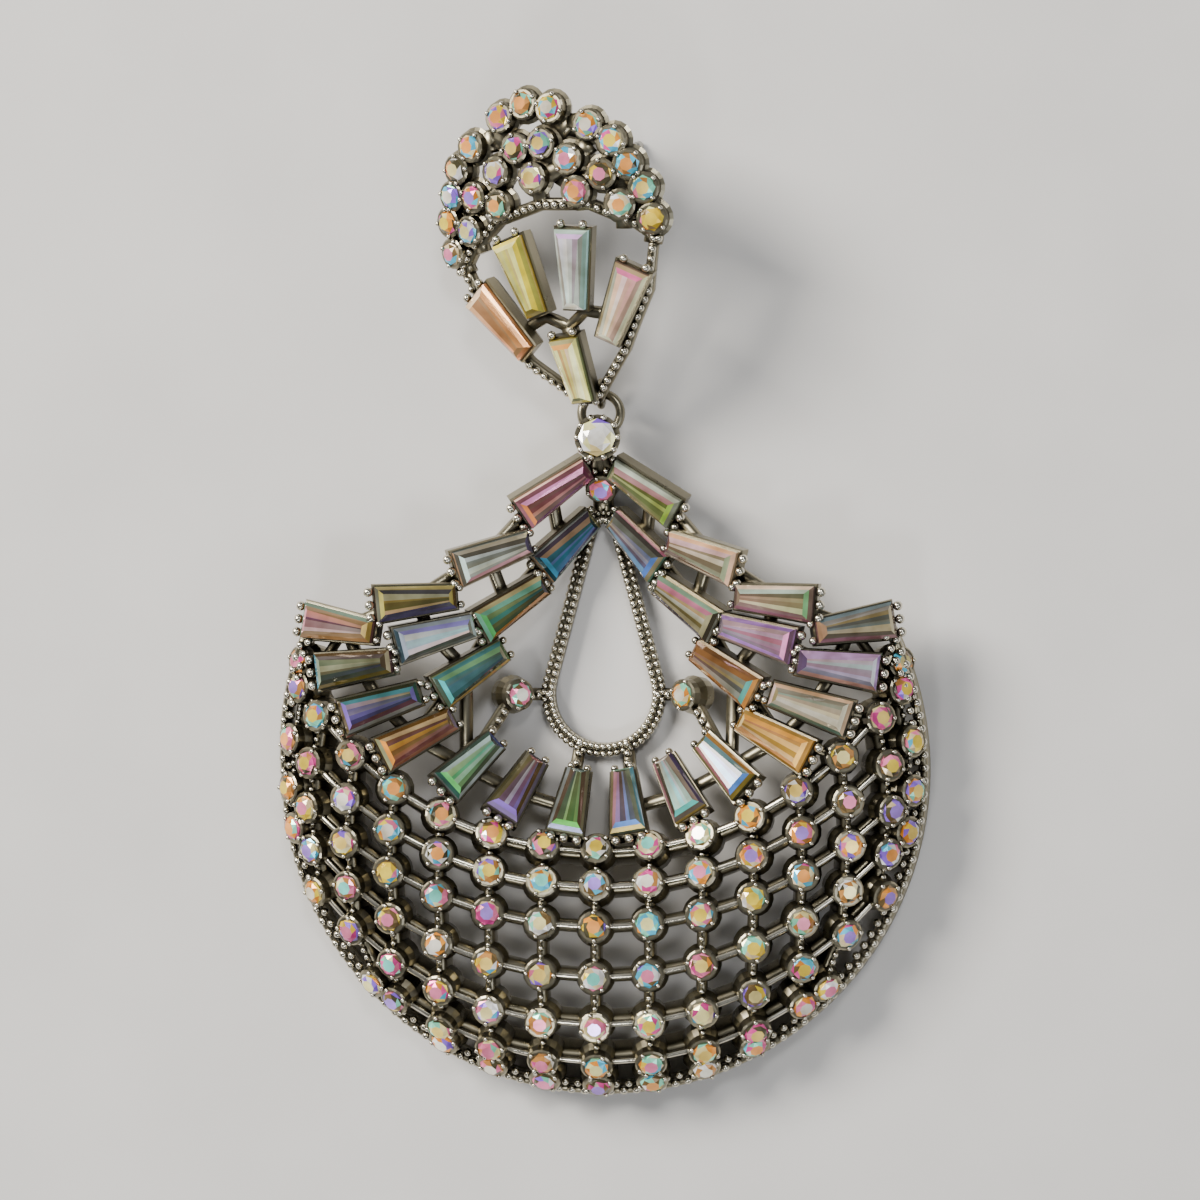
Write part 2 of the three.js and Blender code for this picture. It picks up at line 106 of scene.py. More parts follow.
def colour_ramp(tree, source, stops):
    ramp = add(tree, "ShaderNodeValToRGB")
    elements = ramp.color_ramp.elements
    while len(elements) < len(stops):
        elements.new(0.5)
    for element, (place, code) in zip(elements, stops):
        element.position = place
        element.color = linear(code)
    tree.links.new(source, ramp.inputs["Fac"])
    return ramp.outputs["Color"]


def grain(tree, scale, detail=3.0):
    place = add(tree, "ShaderNodeTexCoord")
    pattern = add(tree, "ShaderNodeTexNoise")
    set_inputs(pattern, Scale=scale, Detail=detail)
    tree.links.new(place.outputs["Object"], pattern.inputs["Vector"])
    return pattern.outputs["Fac"]


def add_bump(tree, shader, height, strength, distance):
    bump = add(tree, "ShaderNodeBump")
    set_inputs(bump, Strength=strength, Distance=distance)
    tree.links.new(height, bump.inputs["Height"])
    tree.links.new(bump.outputs["Normal"], shader.inputs["Normal"])


# ---- materials ----
# Zinc casting with a dark rhodium plate: polished where it is rubbed, with painted shade in the
# recesses where the occlusion node finds them, and the soft unevenness of a small casting.
def plated_metal(name, painted_shade, face, roughness):
    material, tree, shader = new_material(name)
    # Painted shade: the base colour runs from the shade colour to the face colour by ambient
    # occlusion.
    shade = add(tree, "ShaderNodeAmbientOcclusion", samples=6)
    shade.inputs["Distance"].default_value = 2.2 * MM
    tone = colour_ramp(tree, shade.outputs["AO"], [(0.2, painted_shade), (0.9, face)])
    tree.links.new(tone, shader.inputs["Base Color"])
    wear = add(tree, "ShaderNodeMapRange")
    set_inputs(wear, To_Min=roughness, To_Max=roughness + 0.16)
    tree.links.new(grain(tree, 900), wear.inputs["Value"])
    tree.links.new(wear.outputs["Result"], shader.inputs["Roughness"])
    set_inputs(shader, Metallic=1.0)
    add_bump(tree, shader, grain(tree, 1600), 0.12, 0.05 * MM)
    return material


PLATE = plated_metal("dark rhodium plate on a zinc casting", "#2f2a1f", "#9a937d", 0.22)
# A lighter copy of the plate for wires and grains: smoother, as polished metal is, and painted
# lighter as a highlight.
POLISH_AND_HIGHLIGHT = plated_metal("rhodium plate rubbed bright on wires and grains", "#554f3f", "#dcd6c4", 0.13)
STEEL = plated_metal("drawn steel wire", "#4a4843", "#b5b3ad", 0.22)


# Foil-backed pressed crystal with a rainbow coating: each facet has a colour of its own, and
# cloudy variation inside it. The same colour also drives a weak emission, a painted glow.
def crystal():
    material, tree, shader = new_material("pressed crystal with a rainbow coating")
    facet = add(tree, "ShaderNodeAttribute", attribute_name="facet")
    cloud = colour_ramp(tree, grain(tree, 420), [(0.3, "#b9b4a8"), (0.7, "#ffffff")])
    mix = add(tree, "ShaderNodeMix", data_type="RGBA", blend_type="MULTIPLY")
    mix.inputs["Factor"].default_value = 1.0
    tree.links.new(facet.outputs["Color"], mix.inputs["A"])
    tree.links.new(cloud, mix.inputs["B"])
    tree.links.new(mix.outputs["Result"], shader.inputs["Base Color"])
    tree.links.new(mix.outputs["Result"], shader.inputs["Emission Color"])
    set_inputs(shader, Metallic=0.3, Roughness=0.12, Coat_Weight=0.3, Coat_Roughness=0.02)
    # Painted glow: the stones give off light in their own colours, though they are no lamp.
    set_inputs(shader, Emission_Strength=0.3)
    return material


CRYSTAL = crystal()


# ---- the domed faces ----
# The drop is a dome that rolls down to its rim and down to the teardrop window; the stud is a
# shallow dome in a plane of its own. Millimetres from the disc's centre and from the stud's tip.
def teardrop_distance(x, y):
    rise = WINDOW_HIGH - WINDOW_LOW
    slope = (WINDOW_RADIUS - WINDOW_TOP_RADIUS) / rise
    flank = math.sqrt(1 - slope * slope)
    reach = flank * (y - WINDOW_LOW) - slope * abs(x)
    if reach < 0:
        return math.hypot(x, y - WINDOW_LOW) - WINDOW_RADIUS
    if reach > flank * rise:
        return math.hypot(x, y - WINDOW_HIGH) - WINDOW_TOP_RADIUS
    return flank * abs(x) + slope * (y - WINDOW_LOW) - WINDOW_RADIUS


def drop_height(x, y):
    from_window = max(0, teardrop_distance(x, y) - WINDOW_BAND)
    bowl = math.sin(math.pi / 2 * min(1, from_window / BOWL))
    from_rim = DISC_RADIUS - math.hypot(x, y * TOP_STRETCH if y > 0 else y)
    roll = 1 - min(1, max(0, from_rim / RIM_ROLL))
    return BASE + CREST * bowl * math.sqrt(max(0, 1 - roll * roll))


def rim_height(angle):
    """Where the rim's foot line is: on the surface round the fan, and rising at its tips."""
    return drop_height(DISC_RADIUS * math.cos(angle), DISC_RADIUS * math.sin(angle)) - BASE


def stud_height(u, v):
    side = min(1, abs(u) / 12)
    ends = min(1, abs(v - 14.5) / 15.5)
    return 2.3 * (1 - side * side) * (1 - ends * ends) + 1.0


def on_face(height, x, y, step=0.4):
    """The point of a domed face over (x, y), and the way it faces there."""
    near = min(1, 26.8 / max(0.01, math.hypot(x, y))) if height is drop_height else 1
    px, py = x * near, y * near
    slope_x = (height(px + step, py) - height(px - step, py)) / (2 * step)
    slope_y = (height(px, py + step) - height(px, py - step)) / (2 * step)
    return Vector((x, y, height(x, y))), Vector((-slope_x, -slope_y, 1)).normalized()


def face_frame(height, x, y, degrees=0.0, lift=0.0):
    """The place of a stone on a face: X along it, Z out of the face."""
    point, normal = on_face(height, x, y)
    heading = Vector((math.cos(math.radians(degrees)), math.sin(math.radians(degrees)), 0))
    heading.z = -(normal.x * heading.x + normal.y * heading.y) / normal.z
    heading.normalize()
    across = normal.cross(heading)
    turn = Matrix((heading, across, normal)).transposed().to_4x4()
    return Matrix.Translation(point + normal * lift) @ turn


# ---- building blocks ----
# Each adds a closed shape in millimetres to a bmesh: a bar swept along a line, a grain of metal,
# a row of grains, or the cup that holds a round stone.
def sweep(bm, points, normals, section, closed=False):
    rings = []
    for i, point in enumerate(points):
        last = len(points) - 1
        before = points[i - 1] if i or closed else points[0]
        after = points[(i + 1) % len(points)] if i < last or closed else points[last]
        along = (after - before).normalized()
        across = normals[i].cross(along).normalized()
        up = along.cross(across)
        rings.append([bm.verts.new(point + across * a + up * b) for a, b in section])
    pairs = list(zip(rings, rings[1:])) + ([(rings[-1], rings[0])] if closed else [])
    for one, two in pairs:
        for k in range(len(section)):
            n = (k + 1) % len(section)
            bm.faces.new((one[k], one[n], two[n], two[k])).smooth = len(section) > 5
    if not closed:
        bm.faces.new(rings[0][::-1])
        bm.faces.new(rings[-1])


def rounded(width, above, below, sides=10):
    """An oval-cornered bar section, flat side up."""
    middle, half = (above - below) / 2, (above + below) / 2
    corners = []
    for k in range(sides):
        angle = 2 * math.pi * (k + 0.5) / sides
        cos, sin = math.cos(angle), math.sin(angle)
        corners.append((math.copysign(abs(cos) ** 0.6, cos) * width / 2,
                        middle + math.copysign(abs(sin) ** 0.6, sin) * half))
    return corners


def fine(line, pitch=0.8):
    """Points along a chain of corners, close enough together to follow a dome."""
    out = []
    for a, b in zip(line, line[1:]):
        count = max(1, round(math.dist(a, b) / pitch))
        out += [(a[0] + (b[0] - a[0]) * k / count, a[1] + (b[1] - a[1]) * k / count)
                for k in range(count)]
    return out + [line[-1]]


def rib(bm, height, line, width, above=0.0, below=0.9):
    placed = [on_face(height, x, y) for x, y in fine(line)]
    sweep(bm, [p for p, _ in placed], [n for _, n in placed], rounded(width, above, below))


ball = bmesh.new()
bmesh.ops.create_icosphere(ball, subdivisions=2, radius=1)
GRAIN_POINTS = [vert.co.copy() for vert in ball.verts]
GRAIN_FACES = [[vert.index for vert in face.verts] for face in ball.faces]
ball.free()


def bead(bm, place, radius):
    made = [bm.verts.new(Vector(place) + point * radius) for point in GRAIN_POINTS]
    for corners in GRAIN_FACES:
        bm.faces.new([made[k] for k in corners]).smooth = True


def bead_line(bm, height, line, radius, pitch, lift=0.1):
    for x, y in fine(line, pitch):
        point, normal = on_face(height, x, y)
        spot = point + normal * (lift + rng.uniform(-0.03, 0.03))
        bead(bm, spot, radius * rng.uniform(0.92, 1.06))


def layers(bm, rings):
    """A closed solid through rings of points, first one up; returns its side faces and its top."""
    rows = [[bm.verts.new(p) for p in ring] for ring in rings]
    made = []
    for one, two in zip(rows, rows[1:]):
        for k in range(len(one)):
            n = (k + 1) % len(one)
            made.append(bm.faces.new((one[k], one[n], two[n], two[k])))
    bm.faces.new(rows[0][::-1])
    return made, bm.faces.new(rows[-1])


def collar(bm, grains, matrix, radius, depth=2.6):
    """A round stone's cup, flared into the web, with four grains pushed over its edge."""
    layers(bm, [[matrix @ Vector((r * math.cos(k * math.pi / 9), r * math.sin(k * math.pi / 9), z))
                 for k in range(18)]
                for r, z in ((1.0, -depth), (1.5, -depth * 0.77), (1.66, -depth * 0.35),
                             (radius + 0.3, -0.3),
                             (radius + 0.27, 0.4), (radius + 0.12, 0.5))])
    for k in range(4):
        angle = math.pi / 4 + k * math.pi / 2
        spot = Vector((math.cos(angle), math.sin(angle), 0)) * (radius + 0.08)
        bead(grains, matrix @ (spot + Vector((0, 0, 0.52))), 0.22)


# ---- stones ----
# Each facet's colour is kept on its corners. The coating throws yellow, rose, teal and violet,
# and the last colours of the palette are painted shade, the smoky look of facets that face away,
# dealt out at random.
PALETTE = ["#f7d03c", "#f29a36", "#f27ca6", "#dc4a98", "#fff0a8", "#8ceaca", "#58c8f0",
           "#8e66e2", "#ffffff", "#f7dfae", "#c48a4a", "#7a6440", "#4e4a34"]


def paint(bm, face, code, change=0.12):
    layer = bm.loops.layers.float_color["facet"]
    factor = 1 + rng.uniform(-change, change)
    colour = [min(1, part * factor) for part in linear(code)[:3]] + [1]
    for loop in face.loops:
        loop[layer] = colour


def stone_mesh():
    bm = bmesh.new()
    bm.loops.layers.float_color.new("facet")
    return bm


def chaton(bm, matrix, radius, colours=PALETTE, bright=False):
    """A round stone: girdle, eight lower facets, eight star facets and a table."""
    def ring(share, z, turn):
        return [matrix @ Vector((radius * share * math.cos(math.pi / 4 * (k + turn)),
                                 radius * share * math.sin(math.pi / 4 * (k + turn)), z))
                for k in range(8)]
    facets, table = layers(bm, [ring(0.9, 0.1, 0), ring(1, 0.42, 0), ring(0.8, 0.68, 0.5),
                                ring(0.5, 0.9, 0)])
    chosen = rng.sample(colours, 3) if not bright else colours
    for face in facets:
        paint(bm, face, rng.choice([*chosen, *chosen, rng.choice(PALETTE)]), 0.3)
    paint(bm, table, "#f7fbff" if bright else rng.choice(
        ["#fbdc50", "#f9a858", "#f78cb4", "#fff0a8", "#f8d878", "#7fe6da", "#b08cf2", "#fff8e8"]))


def taper(size, z, inset):
    length, wide, narrow = size
    end = length / 2 - inset
    return [(end, -wide / 2 + inset, z), (end, wide / 2 - inset, z),
            (-end, narrow / 2 - inset, z), (-end, -narrow / 2 + inset, z)]


def blend_of(one, two, share, light=1.0):
    return [min(1, (p + (q - p) * share) * light) for p, q in zip(one[:3], two[:3])] + [1]


def baguette(bm, matrix, size, body, flash, glow=1.0):
    """A step-cut tapered stone; its table shows long slips of colour, painted reflections of the
    cuts behind it.
    """
    layer = bm.loops.layers.float_color["facet"]
    body, flash = linear(body), linear(flash)
    steps = [(0.75, 0.0), (1.3, 0.0), (1.6, 0.28), (1.9, 0.62)]
    rings = [[matrix @ Vector(p) for p in taper(size, z, inset)] for z, inset in steps]
    facets, table = layers(bm, rings)
    # Painted light and shade: each facet is lit or darkened at random, and some take the flash
    # colour as a painted reflection.
    for i, face in enumerate(facets):
        tint = linear(rng.choice(PALETTE))
        share, light = rng.uniform(0.05, 0.4), rng.choice([0.3, 0.5, 0.8, 1.3])
        if i % 4 == 0 and i > 4:
            tint, share, light = flash, 0.85, 1.1
        for loop in face.loops:
            loop[layer] = blend_of(body, tint, share, light * rng.uniform(0.8, 1.2))
    bm.faces.remove(table)
    wide_right, wide_left, narrow_left, narrow_right = rings[-1]
    cuts = [0, rng.uniform(0.2, 0.34), rng.uniform(0.45, 0.6), rng.uniform(0.72, 0.84), 1]
    for a, b in zip(cuts, cuts[1:]):
        corners = [wide_right.lerp(wide_left, a), wide_right.lerp(wide_left, b),
                   narrow_right.lerp(narrow_left, b), narrow_right.lerp(narrow_left, a)]
        face = bm.faces.new([bm.verts.new(p) for p in corners])
        tint = linear(rng.choice(PALETTE[:11]))
        light = glow * rng.choice([0.3, 0.5, 0.7, 1.0])
        # Painted reflection: each slip takes the flash colour most at its wide end.
        for k, loop in enumerate(face.loops):
            near = 0.45 if k < 2 else 0.08
            loop[layer] = blend_of(blend_of(body, flash, near), tint, rng.uniform(0, 0.3), light)


def finish_piece(bm, name, material, nodes, matrix=Matrix.Identity(4)):
    """Turns a bmesh in millimetres into a piece of the object in metres."""
    bm.transform(Matrix.Translation(CENTRE) @ Matrix.Scale(MM, 4) @ matrix)
    bmesh.ops.recalc_face_normals(bm, faces=bm.faces)
    mesh = bpy.data.meshes.new(name)
    bm.to_mesh(mesh)
    bm.free()
    mesh.materials.append(material)
    piece = bpy.data.objects.new(name, mesh)
    bpy.context.scene.collection.objects.link(piece)
    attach(piece, "root")
    if nodes:
        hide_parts(*nodes)
    return piece


def both(line):
    """A line and its mirror image across the earring's axis."""
    return [line, [(-x, y) for x, y in line]]


# ---- the drop's stones: tables ----
# Each baguette's place and the way its wide end points, then its body and flash (painted
# reflection) colours on the left and on the right. Each row of round stones is an arc: its centre,
# radius and last stone.
DROP = {
    "1a": (4.15, 23.7, -36, "#c97f9a", "#f0913c", "#7c8a6c", "#b8f25a"),
    "1b": (3.4, 19.1, -47, "#2e5458", "#3f8fb8", "#77706a", "#5a8ff0"),
    "2a": (9.2, 18.0, -22, "#8a8a80", "#d8f4ee", "#c9a58a", "#9ab08a"),
    "2b": (7.8, 13.9, -36, "#34362c", "#57b86a", "#6a6c58", "#b4ad84"),
    "3a": (15.2, 14.2, -6, "#6a6e44", "#c4b860", "#a98a8a", "#7fd08a"),
    "3b": (13.8, 11.3, -16, "#6d7a86", "#aab8cf", "#a1779e", "#e07ab0"),
    "3c": (11.1, 8.3, -35, "#54744c", "#57e0ea", "#b67a44", "#3fc0b8"),
    "4a": (21.3, 12.0, 9, "#70604a", "#e88aa4", "#8d8478", "#d5c9a0"),
    "4b": (20.0, 8.6, -8, "#3d463c", "#7f9a7c", "#9a7c8c", "#dfeaff"),
    "4c": (18.0, 5.4, -18, "#38503c", "#8a6ad0", "#a7a08e", "#f0ead0"),
    "4d": (15.2, 2.7, -28, "#8c6a3c", "#f09a3c", "#b98a3c", "#ffc04c"),
    "5a": (11.0, 0.3, -45, "#3c6c68", "#6fe07a", "#6c6a46", "#4f8ff0"),
    "5b": (7.0, -1.8, -60, "#66643f", "#8f6ad8", "#6b6258", "#4fc8c0"),
    "5c": (2.4, -3.2, -81, "#5f7474", "#7af06a", "#66705f", "#6a9cf4"),
}
ROWS = [(23.2, 30.0, 7), (24.0, 33.7, 7), (22.3, 35.3, 7), (15.6, 32.8, 7), (10.0, 31.2, 6),
        (5.7, 30.2, 5)]


def row_points(centre, radius, last):
    """A row's stones on one side, a pitch apart over the dome; the last may be cut short."""
    def at(x):
        return (x, centre - math.sqrt(radius ** 2 - x * x))
    points = [at(0)]
    while len(points) <= last:
        start = on_face(drop_height, *points[-1])[0]
        x = points[-1][0] + 0.02
        while ((on_face(drop_height, *at(x))[0] - start).length < STONE_PITCH
               and math.hypot(*at(x)) < LAST_STONE_RADIUS):
            x += 0.02
        points.append(at(x))
    return points


lattice = [row_points(*row) for row in ROWS]
lattice.append([(26.1 * math.sin(a), -26.1 * math.cos(a)) for a in (0, 0.172, 0.345, 0.518)])


def to_rim(point):
    reach = 27.1 / math.hypot(*point)
    return (point[0] * reach, point[1] * reach)


# ---- the drop's rim and teardrop ring ----
# The rim is a smooth wall with a flat foot under two staggered rows of milgrain. The teardrop
# ring is lower and has two rows of smaller grains.
UP = Vector((0, 0, 1))
RIM_SWEEP = 180 + 2 * TIP_ANGLE
metal, grains = bmesh.new(), bmesh.new()
for low_z, high_z, radius, width in ((0.02, 1.2, 27.15, 1.1), (0.6, 3.2, 27.1, 1.0)):
    arc = [math.radians(TIP_ANGLE - RIM_SWEEP * k / 150) for k in range(151)]
    path = [Vector((radius * math.cos(a), radius * math.sin(a), rim_height(a))) for a in arc]
    sweep(metal, path, [UP] * len(path), rounded(width, high_z, -low_z, 12))
for row, (radius, size, height) in enumerate(((27.2, 0.4, 3.2), (26.55, 0.36, 3.75))):
    for k in range(100):
        a = math.radians(TIP_ANGLE - RIM_SWEEP * (k + 0.5 * row) / 99.5)
        bead(grains, (radius * math.cos(a), radius * math.sin(a), rim_height(a) + height), size)


def teardrop_path(offset):
    """The window's outline moved out by an amount: a small arc at the top, a wide one below."""
    flank = math.asin((WINDOW_RADIUS - WINDOW_TOP_RADIUS) / (WINDOW_HIGH - WINDOW_LOW))
    arcs = ((WINDOW_HIGH, WINDOW_TOP_RADIUS, flank, math.pi - flank, 8),
            (WINDOW_LOW, WINDOW_RADIUS, math.pi - flank, 2 * math.pi + flank, 32))
    path = []
    for centre, radius, start, stop, steps in arcs:
        turns = [start + (stop - start) * k / steps for k in range(steps + 1)]
        path += [((radius + offset) * math.cos(a), centre + (radius + offset) * math.sin(a))
                 for a in turns]
    return path


ring = [Vector((x, y, 0)) for x, y in teardrop_path(0.6)]
sweep(metal, ring, [UP] * len(ring), rounded(1.15, 1.35, -0.05, 12), closed=True)
for offset, size, height in ((0.35, 0.34, 1.4), (0.95, 0.32, 1.25)):
    outline = teardrop_path(offset)
    for x, y in fine(outline + outline[:1], 0.66)[:-1]:
        bead(grains, (x, y, height), size)

# ---- the lattice ----
# Deep webs carry a wire along each row, painted bright as highlight, and grains down each column,
# and a round stone sits in a cup at each crossing.
for half in lattice[:len(ROWS)]:
    for line in both(half + [to_rim(half[-1])]):
        rib(metal, drop_height, line, 1.15, -0.3, 2.7)
        rib(grains, drop_height, line, 0.5, 0.12, 0.35)
for column in range(8):
    nodes = [row[column] for row in lattice if len(row) > column]
    nodes.append(to_rim(nodes[-1]))
    for line in both(nodes) if column else [nodes]:
        rib(metal, drop_height, line, 1.0, -0.2, 2.7)
        bead_line(grains, drop_height, line, 0.27, 0.72, 0.0)
round_places = [(x, y) for row in lattice for x, y in row]
round_places += [(25.0, 9.0), (7.3, 6.2), (0, 23.9)]
round_places += [(-x, y) for x, y in round_places if x]
stones = stone_mesh()
for x, y in round_places:
    place = face_frame(drop_height, x, y, rng.uniform(0, 90), 0.25)
    collar(metal, grains, place, 1.08)
    chaton(stones, place, 1.15)

# ---- the baguettes and their trays ----
# Wide ends outward, in fans that step down from the neck; cast grains hold each outer end.
WALL = 0.24
STUD_GLOW = 1.7  # the stud's stones lean towards the light, and throw back more of it


def tray(bm, matrix, size):
    """The thin-walled box under a baguette, drawn in below."""
    outer = [side + 2 * WALL for side in size]
    layers(bm, [[matrix @ Vector(p) for p in taper(outer, z, inset)]
                for z, inset in ((-0.9, 0.4), (-0.3, 0.05), (0.75, 0), (0.9, 0.1))])


for side in (-1, 1):
    for name, (x, y, points, *colours) in DROP.items():
        length = {"1b": 6.2, "5a": 6.0, "5b": 6.0, "5c": 6.0}.get(name, 6.7)
        place = face_frame(drop_height, side * x, y, points if side > 0 else 180 - points)
        size = (length, STONE_WIDE, STONE_NARROW)
        tray(metal, place, size)
        body, flash = colours[:2] if side < 0 else colours[2:]
        baguette(stones, place, size, body, flash)
        for shift in (-1.1, 0, 1.1):
            bead(grains, place @ Vector((length / 2 + 0.55, shift, 0.95)), 0.42)
        for shift in (-0.7, 0.7):
            bead(grains, place @ Vector((-length / 2 - 0.4, shift, 0.85)), 0.34)
spot = {name: (row[0], row[1]) for name, row in DROP.items()}
CHAINS = [["1a", "2a", "3a", "4a"], ["1a", "1b"], ["1b", "2b", "3c"], ["2a", "2b"],
          ["3a", "3b", "3c"], ["4a", "4b", "4c", "4d"], ["3c", "5a"],
          ["4d", "5a", "5b", "5c"], ["3b", "4b"], ["3c", "4d"]]
webs = [[spot[name] for name in chain] for chain in CHAINS]
webs += [[(4.7, 6.2), (7.3, 6.2), spot["5a"]], [(2.0, 2.0), (2.2, 0.3), spot["5c"]],
         [spot["4a"], (24.5, 11.4)], [spot["1a"], (0.4, 25.3), (0, 27.8)],
         [spot["1b"], (0.3, 21.4), (0.1, 23.9)]]
for web in webs:
    for line in both(web):
        rib(metal, drop_height, line, 1.1)
for web in webs[-5:-3]:
    for line in both(web):
        bead_line(grains, drop_height, line, 0.38, 0.85)
for name, (x, y, points, *_) in DROP.items():
    if name[0] in "45":
        end = (x + 3 * math.cos(math.radians(points)), y + 3 * math.sin(math.radians(points)))
        near = min(lattice[0], key=lambda p: math.dist(p, end))
        for line in both([(x, y), near]):
            rib(metal, drop_height, line, 0.8)

# ---- the neck: link stone's cup and the eye below it ----
# The neck carries the bright link stone in a cup with ten grains round it. The eye under the
# cup holds the jump ring.
rib(metal, drop_height, [(0, 21.0), (0, LINK_STONE_Y)], 1.8)
top = drop_height(0, LINK_STONE_Y)
bmesh.ops.create_cone(metal, cap_ends=True, segments=24, radius1=1.6, radius2=1.95, depth=1.5,
                      matrix=Matrix.Translation((0, LINK_STONE_Y, top + 0.15)))
for k in range(10):
    a = k * math.pi / 5
    bead(grains, (1.72 * math.cos(a), LINK_STONE_Y + 1.72 * math.sin(a), top + 1.0), 0.3)
chaton(stones, Matrix.Translation((0, LINK_STONE_Y, top + 0.8)), LINK_STONE_RADIUS,
       PALETTE[7:9] + ["#ffe9a8"], True)


def hoop(bm, centre, radius, wire, plane):
    """A ring of round wire, lying flat or standing upright along the earring."""
    steps = 40
    spots = [2 * math.pi * k / steps for k in range(steps)]
    flat = Vector((0, 0, 1)) if plane == "flat" else Vector((1, 0, 0))
    first, second = (Vector((1, 0, 0)), Vector((0, 1, 0))) if plane == "flat" else (
        Vector((0, 1, 0)), Vector((0, 0, 1)))
    path = [Vector(centre) + (first * math.cos(a) + second * math.sin(a)) * radius for a in spots]
    section = [(wire * math.cos(2 * math.pi * k / 12), wire * math.sin(2 * math.pi * k / 12))
               for k in range(12)]
    sweep(bm, path, [flat] * steps, section, closed=True)


hoop(metal, (0, RING_Y - RING_RADIUS, RING_HEIGHT), EYE_RADIUS, EYE_WIRE, "upright")
finish_piece(metal, "drop_filigree", PLATE, ["drop_frame"])
finish_piece(grains, "drop_grains", POLISH_AND_HIGHLIGHT, [])
finish_piece(stones, "drop_stones", CRYSTAL,
             ["link_stone"] + [f"drop_baguette_{s}_{n}" for s in ("left", "right") for n in DROP])

# ---- the jump ring ----
# Half-hard wire bent into a ring. It lies flat and passes through both eyes, a little clear
# of each.
wire = bmesh.new()
hoop(wire, (0, RING_Y, RING_HEIGHT), RING_RADIUS, RING_WIRE, "flat")
finish_piece(wire, "jump_ring_wire", PLATE, ["jump_ring"])

# ---- the stud ----
# A scalloped shell of paved lobes over a fan of baguettes, leaning on its post. Each band is
# its width, whether it has a mirror image, and the corners of its middle line.
PLACE = (Matrix.Translation((0, 30.7, 4.9)) @ Matrix.Rotation(math.radians(14), 4, "X")
         @ Matrix.Rotation(math.radians(-22), 4, "Y") @ Matrix.Rotation(math.radians(11), 4, "Z"))
BANDS = [
    (2.0, False, [(-3.7, 22.7), (-2.4, 24.7), (0, 25.5), (2.4, 24.7), (3.7, 22.7)]),
    (1.6, False, [(-3.6, 19.2), (-2.3, 21.5), (0, 22.3), (2.3, 21.5), (3.6, 19.2)]),
    (2.0, True, [(3.5, 23.3), (5.4, 23.2), (7.4, 21.5), (8.4, 19.2), (8.2, 18.2)]),
    (1.6, True, [(3.6, 19.2), (5.3, 18.4), (7.4, 18.8), (9.3, 17.3), (9.9, 15.0), (9.0, 12.6)]),
    (1.4, True, [(7.4, 18.8), (7.2, 15.9), (6.9, 14.2)]),
    (1.4, False, [(0, 22.3), (0, 19.4), (0, 17.3)]),
    (1.1, False, [(-9.6, 12.9), (-8.0, 14.5), (-4.4, 16.7), (0, 17.4), (4.4, 16.7), (8.0, 14.5),
                  (9.6, 12.9)]),
    (0.9, True, [(9.2, 13.0), (7.9, 8.9), (4.6, 4.3), (0.6, 0.4)]),
    (1.0, False, [(-4.7, 7.2), (-1.9, 8.0), (0, 6.9), (1.9, 8.0), (4.7, 7.2)]),
    (1.5, False, [(0, 7.0), (0, 0.2)]),
    (1.6, False, [(0, 19.4), (3.0, 20.3), (5.4, 21.6)]),
]
STUD_ROUNDS = [(0, 25.6), (2.4, 24.9), (5.6, 23.0), (7.4, 21.4), (8.4, 19.3), (1.25, 22.2),
               (3.4, 20.6), (0, 19.6), (6.1, 18.9), (9.3, 17.2), (3.7, 17.9), (7.2, 16.2),
               (9.5, 14.6)]
STUD_BAGUETTES = [
    ("left_inner", -11.5, 12.0, 6.6, 3.0, "#f4e02c", "#f8f2a0"),
    ("left_outer", -34, 10.0, 6.6, 3.0, "#f2a868", "#ffd0a8"),
    ("right_inner", 11.5, 12.0, 6.6, 3.0, "#cdeee0", "#d79ae0"),
    ("right_outer", 34, 10.0, 6.6, 3.0, "#f4e4b4", "#e0489c"),
    ("tip", 0, 3.6, 5.6, 2.6, "#f2e67c", "#d98a48"),
]
metal, grains, stones = bmesh.new(), bmesh.new(), stone_mesh()
for width, mirrored, line in BANDS:
    for path in both(line) if mirrored else [line]:
        rib(metal, stud_height, path, width, 0, 1.0)
for line in (BANDS[6][2], *both(BANDS[7][2])):
    bead_line(grains, stud_height, line, 0.36, 0.8, 0.12)
for u, v in STUD_ROUNDS + [(-u, v) for u, v in STUD_ROUNDS if u]:
    place = face_frame(stud_height, u, v, rng.uniform(0, 90), 0.25)
    collar(metal, grains, place, 1.05, 1.25)
    chaton(stones, place, 1.12)
for name, angle, out, length, wide, body, flash in STUD_BAGUETTES:
    u, v = out * math.sin(math.radians(angle)), out * math.cos(math.radians(angle))
    place = face_frame(stud_height, u, v, 90 - angle)
    size = (length, wide, STONE_NARROW)
    tray(metal, place, size)
    baguette(stones, place, size, body, flash, STUD_GLOW)
    for shift in (-1.0, 1.0):
        bead(grains, place @ Vector((length / 2 + 0.45, shift, 0.95)), 0.38)
bmesh.ops.create_cone(metal, cap_ends=True, segments=24, radius1=2.2, radius2=2.2, depth=0.9,
                      matrix=Matrix.Translation((POST_U, POST_V, stud_height(POST_U, POST_V) - 0.9)))
metal.transform(PLACE)
hoop(metal, (0, RING_Y + RING_RADIUS, RING_HEIGHT), EYE_RADIUS, EYE_WIRE, "upright")
sweep(metal, [Vector((0, 31.8, 4.0)), Vector((0, 31.8, 5.3))], [Vector((1, 0, 0))] * 2,
      rounded(0.8, 0.33, 0.33))
finish_piece(metal, "stud_filigree", PLATE, ["stud_frame"])
finish_piece(grains, "stud_grains", POLISH_AND_HIGHLIGHT, [], PLACE)
finish_piece(stones, "stud_stones", CRYSTAL,
             ["stud_baguette_" + row[0] for row in STUD_BAGUETTES], PLACE)

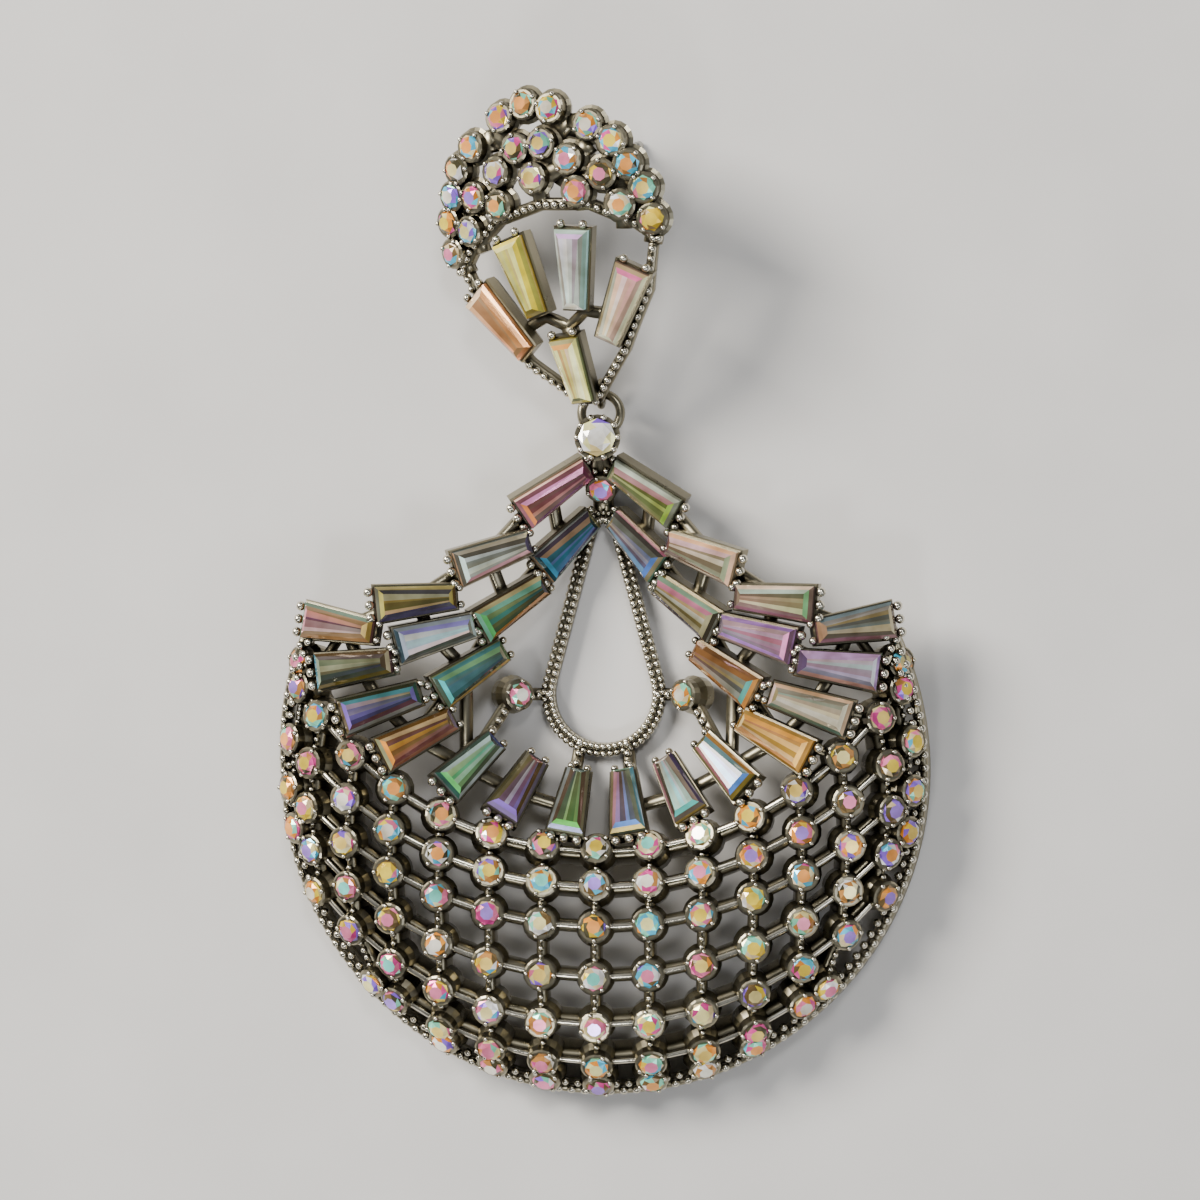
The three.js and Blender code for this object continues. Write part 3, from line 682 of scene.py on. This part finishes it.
# ---- the ear post ----
# A pad behind the stud and a straight pin with a groove for the clutch. The pin is as long as
# it takes for its tip to meet the surface.
post = bmesh.new()
root = PLACE @ Vector((POST_U, POST_V, stud_height(POST_U, POST_V) - 1.45))
back = (PLACE.to_3x3() @ Vector((0, 0, -1))).normalized()
length = (root.z - POST_RADIUS * math.sqrt(1 - back.z ** 2)) / -back.z
turn = back.to_track_quat("Z", "Y").to_matrix().to_4x4()
profile = [(0.01, 0), (1.7, 0), (1.7, 0.6), (POST_RADIUS, 0.6), (POST_RADIUS, length - 1.2),
           (0.32, length - 1), (POST_RADIUS, length - 0.8), (POST_RADIUS, length - 0.15),
           (0.25, length), (0.01, length)]
layers(post, [[Matrix.Translation(root) @ turn @ Vector((r * math.cos(k * math.pi / 12),
                                                        r * math.sin(k * math.pi / 12), z))
               for k in range(24)] for r, z in profile])
finish_piece(post, "ear_post_pin", STEEL, ["ear_post"])

# ---- the surface, the lights and the camera ----
# A plain matt card, a broad soft light from the upper left, small bright panels for glints.
card = bpy.data.meshes.new("card")
card.from_pydata([(-1, -1, 0), (1, -1, 0), (1, 1, 0), (-1, 1, 0)], [], [(0, 1, 2, 3)])
floor = bpy.data.objects.new("card", card)
bpy.context.scene.collection.objects.link(floor)
paper, tree, shader = new_material("matt card")
tree.links.new(colour_ramp(tree, grain(tree, 60), [(0.3, "#d3d1ce"), (0.7, "#dad8d5")]),
               shader.inputs["Base Color"])
set_inputs(shader, Roughness=0.75)
add_bump(tree, shader, grain(tree, 1500), 0.1, 0.03 * MM)
card.materials.append(paper)


def panel(name, place, size, power, tint="#ffffff"):
    lamp = bpy.data.lights.new(name, "AREA")
    lamp.size, lamp.energy, lamp.color = size, power, linear(tint)[:3]
    holder = bpy.data.objects.new(name, lamp)
    holder.location = place
    holder.rotation_euler = (-Vector(place)).to_track_quat("-Z", "Y").to_euler()
    bpy.context.scene.collection.objects.link(holder)


panel("soft light", (-0.5, 0.3, 0.5), 0.3, 10.5, "#fffaf2")
panel("fill", (0.45, -0.3, 0.6), 0.35, 1.2, "#f2f6ff")
panel("glint", (-0.1, -0.45, 0.55), 0.1, 1.0)
panel("top glint", (0.12, 0.3, 0.7), 0.12, 1.4)
world = bpy.data.worlds.new("studio")
world.use_nodes = True
world.node_tree.nodes["Background"].inputs["Color"].default_value = linear("#b9bcc0")
world.node_tree.nodes["Background"].inputs["Strength"].default_value = 0.38
bpy.context.scene.world = world

lens = bpy.data.cameras.new("camera")
lens.lens = 106
eye = bpy.data.objects.new("camera", lens)
where = Vector((0.0326, -0.0015, 0.300))
ahead = (Vector((0, 0, 0.004)) - where).normalized()
right = ahead.cross(Vector((0, 1, 0))).normalized()
turn = Matrix((right, right.cross(ahead), -ahead)).transposed().to_4x4()
eye.matrix_world = Matrix.Translation(where) @ turn
bpy.context.scene.collection.objects.link(eye)
bpy.context.scene.camera = eye
